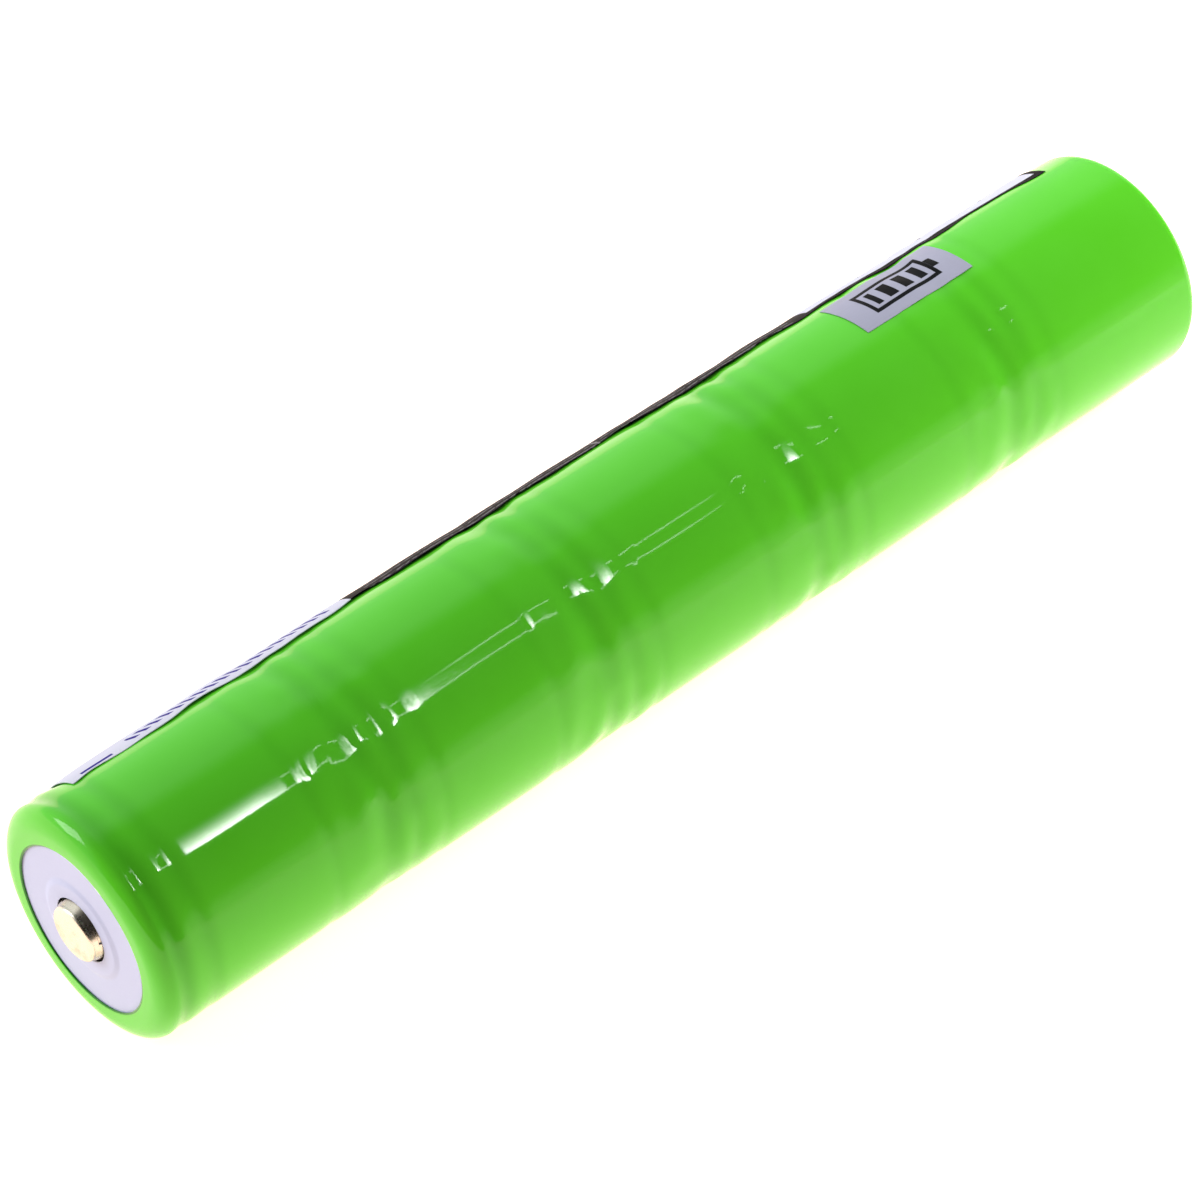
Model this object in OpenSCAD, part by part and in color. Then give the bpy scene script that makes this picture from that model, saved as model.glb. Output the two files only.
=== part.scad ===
// Rechargeable battery stick: nickel-metal hydride cells welded in line inside one shrink sleeve.
// The stick lies along X with its positive button at -X. The origin is on the ground, below the
// middle of its overall box. Every cell is drawn standing on its can base, then laid down.

/* [Stick] */
// Number of cells in line
cell_count = 5; // [2:1:5]
// Distance from one can base to the next can base
cell_pitch = 37.2; // [34:0.1:42]
// Outer diameter over the shrink sleeve
stick_d = 33.2; // [32.6:0.1:34.4]

/* [Sleeve] */
// Wall thickness of the shrunk film
film_t = 0.25; // [0.15:0.05:0.3]
// Diameter of the opening in the film at the positive end
front_lip_d = 23.8; // [20:0.1:26]
// Diameter of the opening in the film at the negative end
back_lip_d = 26; // [22:0.5:28]
// Rounding of the film over the crimped end
front_round = 2.4; // [2.2:0.1:2.6]
// Rounding of the film over the can base
back_round = 1.5; // [1.2:0.1:1.5]
// How far the film sinks into the gap between two cells
joint_sag = 0.4; // [0.1:0.05:0.4]

/* [Can] */
// Wall thickness of the steel can
can_wall = 0.3; // [0.2:0.05:0.3]
// Thickness of the can's base
can_base = 0.4; // [0.3:0.05:0.6]
// Diameter of the contact face pressed out of the can's base
contact_d = 20; // [12:1:24]
// Radius of the groove rolled into the can below its seal
bead_r = 0.9; // [0.7:0.05:0.9]
// Diameter of the mouth that the crimped lip leaves
mouth_d = 26.8; // [25:0.1:27.4]

/* [Terminal] */
// Diameter of the button at its foot
button_d = 9; // [8:0.1:9.6]
// Diameter of the button's flat face
button_flat_d = 7.4; // [6:0.1:7.6]
// How far the button stands above the white washer
button_proud = 1.7; // [1.2:0.1:2.4]
// Thickness of the cover plate that closes the can
plate_t = 0.6; // [0.5:0.05:0.9]
// Diameter of the vent hole in the cover plate
vent_d = 2; // [1.2:0.1:2.6]

/* [Winding] */
// Number of half turns in each wound sheet
half_turns = 17; // [13, 15, 17]
// Thickness of the positive electrode
positive_t = 0.72; // [0.6:0.02:0.76]
// Thickness of the negative electrode
negative_t = 0.42; // [0.3:0.02:0.46]
// Thickness of one separator sheet
separator_t = 0.14; // [0.1:0.02:0.16]

/* [Label] */
// Length of the long label
label_l = 171; // [40:0.5:172]
// Distance from the film's front rim to the long label
label_from = 7; // [4:0.5:12]
// Angle round the stick, from the top, where the long label starts
label_angle = 31; // [20:1:60]
// Angle that the long label covers
label_span = 90; // [60:5:150]
// Length of the small sticker
sticker_l = 20; // [10:0.5:30]
// Angle that the small sticker covers
sticker_span = 33; // [20:1:50]
// How far the sticker's middle lies from the last joint, towards the button
sticker_shift = 2.5; // [0:0.5:8]

/* [Hidden] */
$fn = 96;

// Clearances and thin stock
film_gap = 0.05;
fit_gap = 0.02;
washer_t = 0.2;
seal_lip = 0.35;
cap_t = 0.3;
strip_t = 0.15;
paper_t = 0.1;
disc_t = 0.2;
contact_step = 0.15;

// Radii
stick_r = stick_d / 2;
can_r = stick_r - film_t - film_gap;
can_inner_r = can_r - can_wall;
can_top_round = 1.8;
can_base_round = 1.2;
contact_r = contact_d / 2;
bead_centre_r = can_r + 0.1;
washer_r = can_r - can_top_round;
washer_hole_r = button_d / 2 + 0.3;
seal_inner_r = mouth_d / 2 - 0.2;
plate_r = seal_inner_r + 1;
flange_r = button_d / 2 + 1.7;
button_round = (button_d - button_flat_d) / 2;
vent_slot_r = 0.3;
vent_slots = 3;
slot_turn = 50;
plug_r = 2.6;
plug_nose_r = 1.6;
plug_nose_h = 0.5;

// Heights inside one cell, counted down from its button
link_gap = 0.5;
button_z = cell_pitch - link_gap;
washer_z = button_z - button_proud;
crimp_z = washer_z - washer_t;
seal_top_z = crimp_z - can_wall - fit_gap;
plate_z = seal_top_z - seal_lip;
plate_low_z = plate_z - plate_t;
seal_low_z = plate_low_z - seal_lip;
bead_bulge_r = bead_r + can_wall;
bead_z = seal_low_z - fit_gap - bead_bulge_r;
shoulder_z = bead_z - bead_bulge_r;
top_disc_z = shoulder_z - disc_t - fit_gap;
separator_high_z = top_disc_z - 0.1;
can_floor_z = contact_step + can_base;
separator_low_z = can_floor_z + disc_t + 0.1;
sheet_margin = 0.6;
electrode_low_z = separator_low_z + sheet_margin;
electrode_high_z = separator_high_z - sheet_margin;

// Wound sheets, from the inside of one turn to the next: separator, positive, separator, negative
sheet_gap = 0.02;
positive_step = (separator_t + positive_t) / 2 + sheet_gap;
second_separator_step = positive_step + (positive_t + separator_t) / 2 + sheet_gap;
negative_step = second_separator_step + (separator_t + negative_t) / 2 + sheet_gap;
winding_pitch = negative_step + (negative_t + separator_t) / 2 + sheet_gap;
full_turns = floor((half_turns - 1) / 2);
negative_r = can_inner_r - fit_gap - negative_t / 2 - full_turns * winding_pitch;
core_r = negative_r - negative_step;

// Welded strips
tab_w = 4;
tab_t = 0.12;
tab_bend = 1;
tab_x = core_r + positive_step + winding_pitch;
tab_reach = 3;
link_w = 7;
link_bend_x = 8;
link_end_x = -6;

// Whole stick, with the first can base at height 0 before it is laid down
film_low_z = -(film_t + film_gap);
film_high_z = (cell_count - 1) * cell_pitch + washer_z + film_gap + film_t;
total_l = (cell_count - 1) * cell_pitch + button_z - film_low_z;
bead_sag = 0.2;
bead_sag_r = 1.5;
joint_sag_r = 6;
joint_z = (crimp_z + cell_pitch) / 2;
label_high_z = film_high_z - label_from;
label_fits_l = min(label_l, label_high_z - film_low_z - 2 * back_round);
sticker_centre_z = joint_z + sticker_shift;
sticker_edge_gap = 0.5;

CELL_PARTS = [
    "can", "negative_electrode", "separator", "positive_electrode", "insulator_discs",
    "positive_tab", "seal_ring", "cover_plate", "vent_plug", "button_cap", "white_washer"
];

// Lays the standing stack down along X, with its positive end at -X and its foot on the ground.
module laid_down() {
    translate([total_l / 2 + film_low_z, 0, stick_r])
        rotate([0, -90, 0])
            children();
}

// Puts one cell in its place in the line, turned by an equal share of a full turn from the cell before
// it, so that the weight of the wound sheets balances about the axis. Cell 1 is at the positive end.
module in_cell(number) {
    laid_down()
        translate([0, 0, (cell_count - number) * cell_pitch])
            rotate([0, 0, slot_turn + (number - 1) * 360 / cell_count])
                children();
}

// Half outline of a round bar: radius r from z = low to z = high. Its upper edge is rounded, and so
// is its lower edge unless low_round is 0.
module bar_outline(r, low, high, low_round, high_round) {
    translate([0, low + low_round])
        square([r, high - low - low_round - high_round]);
    if (low_round > 0) {
        translate([0, low])
            square([r - low_round, low_round]);
        translate([r - low_round, low + low_round])
            circle(low_round);
    }
    translate([0, high - high_round])
        square([r - high_round, high_round]);
    translate([r - high_round, high - high_round])
        circle(high_round);
}

// Flat ring standing on z = low.
module ring(outer_r, inner_r, low, thick) {
    translate([0, 0, low])
        rotate_extrude()
            translate([inner_r, 0])
                square([outer_r - inner_r, thick]);
}

// Circles that roll the film in: at the bead of every cell and at every joint between two cells.
module film_sags(grow) {
    for (n = [0 : cell_count - 1])
        translate([stick_r + bead_sag_r - bead_sag, n * cell_pitch + bead_z])
            circle(bead_sag_r + grow);
    for (n = [0 : cell_count - 2])
        translate([stick_r + joint_sag_r - joint_sag, n * cell_pitch + joint_z])
            circle(joint_sag_r + grow);
}

// Green film over the whole stick, turned in over both ends.
module shrink_sleeve() {
    color("limegreen")
        rotate_extrude()
            difference() {
                bar_outline(stick_r, film_low_z, film_high_z, back_round, front_round);
                film_sags(0);
                difference() {
                    bar_outline(
                        stick_r - film_t, film_low_z + film_t, film_high_z - film_t,
                        back_round - film_t, front_round - film_t
                    );
                    film_sags(film_t);
                }
                translate([0, film_low_z])
                    square([back_lip_d / 2, film_t]);
                translate([0, film_high_z - film_t])
                    square([front_lip_d / 2, film_t]);
            }
}

// Nickel strips folded between each button and the next can's base: one solid at each joint.
module cell_links() {
    gap_r = link_gap / 2;
    color("silver")
        for (n = [0 : cell_count - 2])
            translate([0, link_w / 2, n * cell_pitch + button_z + gap_r])
                rotate([90, 0, 0])
                    linear_extrude(link_w) {
                        translate([-button_flat_d / 2, -gap_r])
                            square([link_bend_x + button_flat_d / 2, strip_t]);
                        translate([link_end_x, gap_r - strip_t])
                            square([link_bend_x - link_end_x, strip_t]);
                        translate([link_bend_x, 0])
                            intersection() {
                                difference() {
                                    circle(gap_r);
                                    circle(gap_r - strip_t);
                                }
                                translate([0, -gap_r])
                                    square([gap_r, link_gap]);
                            }
                    }
}

// Thin patch stuck on the film, from one angle round the stick to another.
module patch(low, high, angle_from, span) {
    rotate([0, 0, angle_from])
        rotate_extrude(angle = span)
            translate([stick_r, low])
                square([paper_t, high - low]);
}

// Long paper label along the upper side.
module long_label() {
    color("whitesmoke")
        patch(label_high_z - label_fits_l, label_high_z, label_angle, label_span);
}

// Small silver sticker beside the long label, over the last joint.
module small_sticker() {
    color("darkgray")
        patch(
            sticker_centre_z - sticker_l / 2,
            sticker_centre_z + sticker_l / 2,
            label_angle - sticker_edge_gap - sticker_span,
            sticker_span
        );
}

// Deep-drawn steel can: base with a contact face, wall, rolled bead and a lip crimped in over the seal.
module can() {
    color("silver")
        rotate_extrude()
            difference() {
                union() {
                    bar_outline(can_r, contact_step, crimp_z, can_base_round, can_top_round);
                    square([contact_r, can_floor_z]);
                }
                translate([bead_centre_r, bead_z])
                    circle(bead_r);
                difference() {
                    bar_outline(
                        can_inner_r, can_floor_z, crimp_z - can_wall,
                        can_base_round - can_wall, can_top_round - can_wall
                    );
                    translate([bead_centre_r, bead_z])
                        circle(bead_bulge_r);
                }
                translate([0, can_base])
                    square([contact_r - can_base, can_base]);
                translate([0, crimp_z - can_wall])
                    square([mouth_d / 2, can_wall]);
            }
}

// One sheet wound in a spiral of half turns, each half turn half a pitch wider than the last.
module wound_sheet(first_r, sheet_t, low, high) {
    for (k = [0 : half_turns - 1])
        translate([(k % 2) * winding_pitch / 2, 0, low])
            rotate([0, 0, (k % 2) * 180])
                rotate_extrude(angle = 180)
                    translate([first_r + k * winding_pitch / 2 - sheet_t / 2, 0])
                        square([sheet_t, high - low]);
}

// Metal hydride sheet. Its last turn lies against the can.
module negative_electrode() {
    color("dimgray")
        wound_sheet(negative_r, negative_t, electrode_low_z, electrode_high_z);
}

// Nickel hydroxide sheet.
module positive_electrode() {
    color("darkslategray")
        wound_sheet(core_r + positive_step, positive_t, electrode_low_z, electrode_high_z);
}

// Two sheets of polymer felt that keep the electrodes apart.
module separator() {
    color("ivory") {
        wound_sheet(core_r, separator_t, separator_low_z, separator_high_z);
        wound_sheet(
            core_r + second_separator_step, separator_t, separator_low_z, separator_high_z
        );
    }
}

// Plastic discs below and above the winding. The upper one is open in the middle for the tab.
module insulator_discs() {
    bottom_hole_r = 1.5;
    color("lightblue") {
        ring(can_inner_r - can_base_round, bottom_hole_r, can_floor_z + fit_gap, disc_t);
        ring(bead_centre_r - bead_bulge_r, tab_x + tab_bend, top_disc_z, disc_t);
    }
}

// Nickel strip from the positive electrode's edge up to the underside of the cover plate.
module positive_tab() {
    bend_z = plate_low_z - tab_bend;
    color("gainsboro")
        translate([0, tab_w / 2, 0])
            rotate([90, 0, 0])
                linear_extrude(tab_w) {
                    translate([tab_x - tab_t / 2, electrode_high_z])
                        square([tab_t, bend_z - electrode_high_z]);
                    translate([tab_x + tab_t / 2 - tab_bend, bend_z])
                        intersection() {
                            difference() {
                                circle(tab_bend);
                                circle(tab_bend - tab_t);
                            }
                            square([tab_bend, tab_bend]);
                        }
                    translate([tab_x + tab_t / 2 - tab_bend - tab_reach, plate_low_z - tab_t])
                        square([tab_reach, tab_t]);
                }
}

// Nylon ring that grips the cover plate's edge and insulates it from the can.
module seal_ring() {
    outer_r = can_inner_r - fit_gap;
    color("oldlace")
        rotate_extrude()
            difference() {
                bar_outline(outer_r, shoulder_z, seal_top_z, 0, can_top_round - can_wall);
                translate([0, shoulder_z])
                    square([outer_r, seal_low_z - shoulder_z]);
                translate([0, seal_low_z])
                    square([seal_inner_r, seal_top_z - seal_low_z]);
                translate([0, plate_low_z - fit_gap])
                    square([plate_r + fit_gap, plate_t + 2 * fit_gap]);
            }
}

// Steel disc that closes the can, with the vent hole in its middle.
module cover_plate() {
    color("silver")
        ring(plate_r, vent_d / 2, plate_low_z, plate_t);
}

// Rubber plug that the cap presses on the vent hole.
module vent_plug() {
    plug_top_z = button_z - cap_t - fit_gap;
    color("black") {
        translate([0, 0, plate_z])
            cylinder(r = plug_r, h = plug_top_z - plug_nose_h - plate_z);
        translate([0, 0, plug_top_z - plug_nose_h])
            cylinder(r = plug_nose_r, h = plug_nose_h);
    }
}

// Button terminal: a pressed cap with a flange, welded on the cover plate, and slots for vented gas.
module button_cap() {
    button_r = button_d / 2;
    slot_z = plate_z + cap_t + vent_slot_r + 0.1;
    color("khaki")
        difference() {
            rotate_extrude()
                difference() {
                    union() {
                        bar_outline(button_r, plate_z, button_z, 0, button_round);
                        translate([0, plate_z])
                            square([flange_r, cap_t]);
                    }
                    bar_outline(
                        button_r - cap_t, plate_z, button_z - cap_t, 0, button_round - cap_t
                    );
                }
            for (k = [0 : vent_slots - 1])
                rotate([0, 0, k * 360 / vent_slots])
                    translate([0, 0, slot_z])
                        rotate([0, 90, 0])
                            cylinder(r = vent_slot_r, h = button_r + 0.1);
        }
}

// White paper washer over the crimped lip, round the button.
module white_washer() {
    color("white")
        ring(washer_r, washer_hole_r, crimp_z, washer_t);
}

laid_down() shrink_sleeve();
laid_down() cell_links();
laid_down() long_label();
laid_down() small_sticker();
for (n = [1 : cell_count]) {
    in_cell(n) can();
    in_cell(n) negative_electrode();
    in_cell(n) separator();
    in_cell(n) positive_electrode();
    in_cell(n) insulator_discs();
    in_cell(n) positive_tab();
    in_cell(n) seal_ring();
    in_cell(n) cover_plate();
    in_cell(n) vent_plug();
    in_cell(n) button_cap();
    in_cell(n) white_washer();
}
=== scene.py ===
"""Looks of a rechargeable battery stick: five cells welded in line inside one green shrink sleeve.

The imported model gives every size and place. The sleeve, the long label, the small sticker, the front
washer and the front button get detailed pieces of their own. Every other node keeps its shape and
gets a finish. Lengths are in millimetres until a mesh is made.
"""

import logging
import math
from dataclasses import dataclass, field
from enum import Enum

import bmesh
import bpy
import numpy as np
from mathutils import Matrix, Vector


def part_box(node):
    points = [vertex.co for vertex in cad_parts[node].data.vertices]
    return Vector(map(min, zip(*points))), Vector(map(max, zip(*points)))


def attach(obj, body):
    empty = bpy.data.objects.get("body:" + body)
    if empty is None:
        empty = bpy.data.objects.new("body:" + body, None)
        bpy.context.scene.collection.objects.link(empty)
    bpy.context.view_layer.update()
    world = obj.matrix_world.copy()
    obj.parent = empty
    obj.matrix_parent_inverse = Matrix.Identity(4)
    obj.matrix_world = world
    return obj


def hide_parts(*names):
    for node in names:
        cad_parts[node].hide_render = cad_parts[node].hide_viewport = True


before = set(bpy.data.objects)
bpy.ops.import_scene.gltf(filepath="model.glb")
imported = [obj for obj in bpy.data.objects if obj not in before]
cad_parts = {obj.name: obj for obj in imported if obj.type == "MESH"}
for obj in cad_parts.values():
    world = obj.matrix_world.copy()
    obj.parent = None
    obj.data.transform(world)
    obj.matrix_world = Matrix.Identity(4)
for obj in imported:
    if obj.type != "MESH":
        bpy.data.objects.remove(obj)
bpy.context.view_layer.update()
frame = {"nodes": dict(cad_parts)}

MM = 0.001
LOG = logging.getLogger("battery_stick")
Colour = tuple[float, float, float]


# ---------------------------------------------------------------- sizes of the stick


@dataclass(frozen=True)
class Stick:
    """Main sizes of the stick, in millimetres.

    A place on the stick is given by its run, the distance from the front rim of the film, and by its
    angle in degrees, which is 0 at the top and grows towards +Y.

    Attributes:
        front_x: X of the film's front rim.
        length: Distance from the front rim to the back rim of the film.
        radius: Radius over the film.
        axis_z: Height of the stick's axis.
        button_x: X of the button's flat face.
        washer_x: X of the front washer's outer face.
        bases: Run of each cell's base, from the button end.
    """

    front_x: float
    length: float
    radius: float
    axis_z: float
    button_x: float
    washer_x: float
    bases: tuple[float, ...]

    @classmethod
    def from_nodes(cls, cell_count: int = 5) -> "Stick":
        """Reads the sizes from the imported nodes.

        Args:
            cell_count: Number of cells in the line.

        Returns:
            The sizes of the stick.
        """
        low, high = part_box("shrink_sleeve")
        front_x = low.x / MM
        cans = [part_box(f"cell_{number}_can")[1].x / MM for number in range(1, cell_count + 1)]
        return cls(
            front_x=front_x,
            length=high.x / MM - front_x,
            radius=(high.z - low.z) / 2 / MM,
            axis_z=(high.z + low.z) / 2 / MM,
            button_x=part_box("cell_1_button_cap")[0].x / MM,
            washer_x=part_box("cell_1_white_washer")[0].x / MM,
            bases=tuple(x - front_x for x in cans),
        )

    def place(self, run: np.ndarray, angle: np.ndarray, radius: np.ndarray) -> np.ndarray:
        """Turns places on the stick into points in the shared frame.

        Args:
            run: Distances from the front rim, in millimetres.
            angle: Angles from the top, in degrees.
            radius: Distances from the axis, in millimetres.

        Returns:
            Points in metres, with X, Y and Z on the last axis.
        """
        run, angle, radius = np.broadcast_arrays(run, np.radians(angle), radius)
        x = self.front_x + run
        y = radius * np.sin(angle)
        z = self.axis_z + radius * np.cos(angle)
        return np.stack([x, y, z], axis=-1) * MM


# ---------------------------------------------------------------- mesh making


def grid_faces(rows: int, columns: int, close_rows: bool) -> list[tuple[int, int, int, int]]:
    """Lists the four-cornered faces of a grid of points whose rows are closed rounds.

    Args:
        rows: Number of rows of points.
        columns: Number of points in each row. The last is joined to the first.
        close_rows: Whether the last row is joined to the first.

    Returns:
        Corner numbers of each face.
    """
    last_row = rows if close_rows else rows - 1
    row = np.arange(last_row)[:, None] * columns
    next_row = (np.arange(last_row)[:, None] + 1) % rows * columns
    column = np.arange(columns)[None, :]
    next_column = (column + 1) % columns
    corners = (row + column, next_row + column, next_row + next_column, row + next_column)
    return np.stack(corners, axis=-1).reshape(-1, 4).tolist()


def new_piece(
    name: str, points: np.ndarray, faces: list, smooth_angle: float = 50.0, weld: bool = False
) -> bpy.types.Object:
    """Makes a mesh piece and puts it in the scene.

    Args:
        name: Name of the piece.
        points: Corner points in metres.
        faces: Corner numbers of each face.
        smooth_angle: Edges sharper than this many degrees stay sharp.
        weld: Whether points at the same place are joined.

    Returns:
        The piece, with its normals pointing outwards.
    """
    mesh = bpy.data.meshes.new(name)
    mesh.from_pydata(points.reshape(-1, 3).tolist(), [], faces)
    work = bmesh.new()
    work.from_mesh(mesh)
    if weld:
        bmesh.ops.remove_doubles(work, verts=work.verts, dist=0.0005 * MM)
    bmesh.ops.recalc_face_normals(work, faces=work.faces)
    work.to_mesh(mesh)
    work.free()
    mesh.shade_smooth()
    mesh.set_sharp_from_angle(angle=math.radians(smooth_angle))
    piece = bpy.data.objects.new(name, mesh)
    bpy.context.scene.collection.objects.link(piece)
    return piece


def arc(
    centre: tuple[float, float], reach: tuple[float, float], start: float, end: float, steps: int
) -> list[tuple[float, float]]:
    """Points on an elliptical arc in the (run, radius) plane.

    Args:
        centre: Run and radius of the arc's centre.
        reach: Half lengths of the arc along the run and along the radius.
        start: First angle in degrees, 0 along the run and 90 along the radius.
        end: Last angle in degrees.
        steps: Number of stretches between the two ends.

    Returns:
        The points, both ends among them.
    """
    turns = [math.radians(start + (end - start) * k / steps) for k in range(steps + 1)]
    return [(centre[0] + reach[0] * math.cos(t), centre[1] + reach[1] * math.sin(t)) for t in turns]


# ---------------------------------------------------------------- shader maths


class Tree:
    """Node tree of one material, with calls that add nodes to it."""

    def __init__(self, owner: bpy.types.ID) -> None:
        """Empties the owner's node tree.

        Args:
            owner: Material or world that the nodes belong to.
        """
        owner.use_nodes = True
        self.nodes = owner.node_tree.nodes
        self.links = owner.node_tree.links
        self.nodes.clear()

    def add(
        self, kind: str, settings: dict | None = None, sockets: dict | None = None, output: int | str = 0
    ) -> "Value":
        """Adds one node.

        Args:
            kind: Type name of the node.
            settings: Its settings, set first.
            sockets: Values or links of its inputs, by name or number.
            output: Name or number of the wanted output.

        Returns:
            The wanted output.
        """
        node = self.nodes.new(kind)
        for key, setting in (settings or {}).items():
            setattr(node, key, setting)
        for key, value in (sockets or {}).items():
            self._feed(node.inputs[key], value)
        return Value(self, node.outputs[output]) if len(node.outputs) else Value(self, None)

    def _feed(self, socket: bpy.types.NodeSocket, value: object) -> None:
        """Links an output to an input, or sets the input to a plain value."""
        if isinstance(value, Value):
            self.links.new(value.socket, socket)
        elif socket.type == "RGBA" and len(value) == 3:
            socket.default_value = (*value, 1.0)
        else:
            socket.default_value = value

    def mix(self, share: "Value", first: object, second: object) -> "Value":
        """Mixes two colours.

        Args:
            share: How much of the second colour is taken.
            first: First colour or output.
            second: Second colour or output.

        Returns:
            The mixed colour.
        """
        settings = {"data_type": "RGBA", "clamp_factor": True}
        sockets = {0: share, 6: first, 7: second}
        return self.add("ShaderNodeMix", settings, sockets, 2)

    def stretch(self, where: "Value", factors: tuple[float, float, float]) -> "Value":
        """A place with its coordinates multiplied by factors, which shortens a pattern along each of them."""
        return self.add("ShaderNodeVectorMath", {"operation": "MULTIPLY"}, {0: where, 1: factors})

    def noise(self, where: "Value", scale: float, detail: float = 2.0, rough: float = 0.5) -> "Value":
        """Smooth noise between about 0 and 1.

        Args:
            where: Place in millimetres.
            scale: Waves per millimetre.
            detail: Number of finer layers.
            rough: Strength of each finer layer.

        Returns:
            The noise.
        """
        sockets = {"Vector": where, "Scale": scale, "Detail": detail, "Roughness": rough}
        return self.add("ShaderNodeTexNoise", None, sockets, "Fac")

    def bump(
        self, height: "Value", depth_mm: float, strength: float = 1.0, under: "Value | None" = None
    ) -> "Value":
        """Bends the normal by a height.

        Args:
            height: Height between 0 and 1.
            depth_mm: Depth of the relief in millimetres.
            strength: Strength of the bump.
            under: Normal of a coarser relief below this one.

        Returns:
            The bent normal.
        """
        sockets = {"Height": height, "Distance": depth_mm * MM, "Strength": strength}
        if under is not None:
            sockets["Normal"] = under
        return self.add("ShaderNodeBump", None, sockets, "Normal")

    def surface(self, **sockets: object) -> None:
        """Ends a material with a Principled shader. Underscores in the names stand for spaces."""
        named = {key.replace("_", " "): value for key, value in sockets.items()}
        shader = self.add("ShaderNodeBsdfPrincipled", None, named)
        self.add("ShaderNodeOutputMaterial", None, {"Surface": shader})


class Value:
    """An output socket that can be used in arithmetic. Each operator adds a Math node."""

    def __init__(self, tree: Tree, socket: bpy.types.NodeSocket | None) -> None:
        """Wraps an output socket of a tree, or nothing for a node without outputs."""
        self.tree = tree
        self.socket = socket

    def _math(self, operation: str, *values: object) -> "Value":
        """Adds a Math node to the tree."""
        return self.tree.add("ShaderNodeMath", {"operation": operation}, dict(enumerate(values)))

    def __add__(self, other: object) -> "Value":
        """self + other."""
        return self._math("ADD", self, other)

    __radd__ = __add__

    def __sub__(self, other: object) -> "Value":
        """self - other."""
        return self._math("SUBTRACT", self, other)

    def __rsub__(self, other: object) -> "Value":
        """other - self."""
        return self._math("SUBTRACT", other, self)

    def __mul__(self, other: object) -> "Value":
        """self * other."""
        return self._math("MULTIPLY", self, other)

    __rmul__ = __mul__

    def __pow__(self, other: object) -> "Value":
        """self to the power of other."""
        return self._math("POWER", self, other)

    def __abs__(self) -> "Value":
        """Size of self."""
        return self._math("ABSOLUTE", self)

    def __mod__(self, other: object) -> "Value":
        """What is left of self after whole steps of other. It never falls below 0."""
        return self._math("FLOORED_MODULO", self, other)

    def turn_from(self, other: "Value") -> "Value":
        """Angle in radians whose tangent is self over other."""
        return self._math("ARCTAN2", self, other)

    def most(self, other: object) -> "Value":
        """The larger of self and other."""
        return self._math("MAXIMUM", self, other)

    def above(self, limit: float, soft: float = 0.04) -> "Value":
        """1 where self is above a limit and 0 below it, with a soft step.

        Args:
            limit: Where the step lies.
            soft: Width of the step.

        Returns:
            The step.
        """
        sockets = {0: self, 1: limit - soft / 2, 2: limit + soft / 2, 3: 0.0, 4: 1.0}
        return self.tree.add("ShaderNodeMapRange", {"interpolation_type": "SMOOTHSTEP"}, sockets)

    def between(self, low: float, high: float, soft: float = 0.04) -> "Value":
        """1 between two limits and 0 outside them, with soft steps."""
        return self.above(low, soft) * (1 - self.above(high, soft))

    def lines(self, pitch: float, width: float, soft: float = 0.04) -> "Value":
        """1 on lines that repeat at a pitch, and 0 between them.

        Args:
            pitch: Distance from one line to the next.
            width: Width of a line.
            soft: Width of its soft edges.

        Returns:
            The lines.
        """
        return (self % pitch).between(0.1 * pitch, 0.1 * pitch + width, soft)


class StickPlace:
    """Where a point of a material lies on the stick, as shader values in millimetres."""

    def __init__(self, tree: Tree, stick: Stick) -> None:
        """Adds the nodes that work out run, radius and arc.

        Args:
            tree: Tree of the material.
            stick: Sizes of the stick.
        """
        raw = tree.add("ShaderNodeTexCoord", None, None, "Object")
        self.point = tree.stretch(raw, (1 / MM, 1 / MM, 1 / MM))
        split = tree.add("ShaderNodeSeparateXYZ", None, {0: self.point})
        x, y, z = (Value(tree, out) for out in split.socket.node.outputs)
        across = z - stick.axis_z
        self.run = x - stick.front_x
        self.radius = (y * y + across * across) ** 0.5
        self.arc = y.turn_from(across) * stick.radius


# ---------------------------------------------------------------- finishes


@dataclass(frozen=True)
class Finish:
    """One finish. A kind of finish adds its sizes and colours as fields and paints its nodes."""

    name: str

    def material(self, stick: Stick) -> bpy.types.Material:
        """Makes the material.

        Args:
            stick: Sizes of the stick.

        Returns:
            The material.
        """
        made = bpy.data.materials.new(self.name)
        tree = Tree(made)
        self.paint(tree, StickPlace(tree, stick))
        return made

    def paint(self, tree: Tree, place: StickPlace) -> None:
        """Adds the nodes of the finish."""
        raise NotImplementedError


@dataclass(frozen=True)
class ShadeBand:
    """A soft band of painted shade round the stick: where its middle is, its half width and its strength."""

    centre: float
    half_width: float
    strength: float

    def shade(self, run: Value) -> Value:
        """Strength of the band at a run."""
        return (1 - abs(run - self.centre).above(self.half_width / 2, self.half_width)) * self.strength


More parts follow.
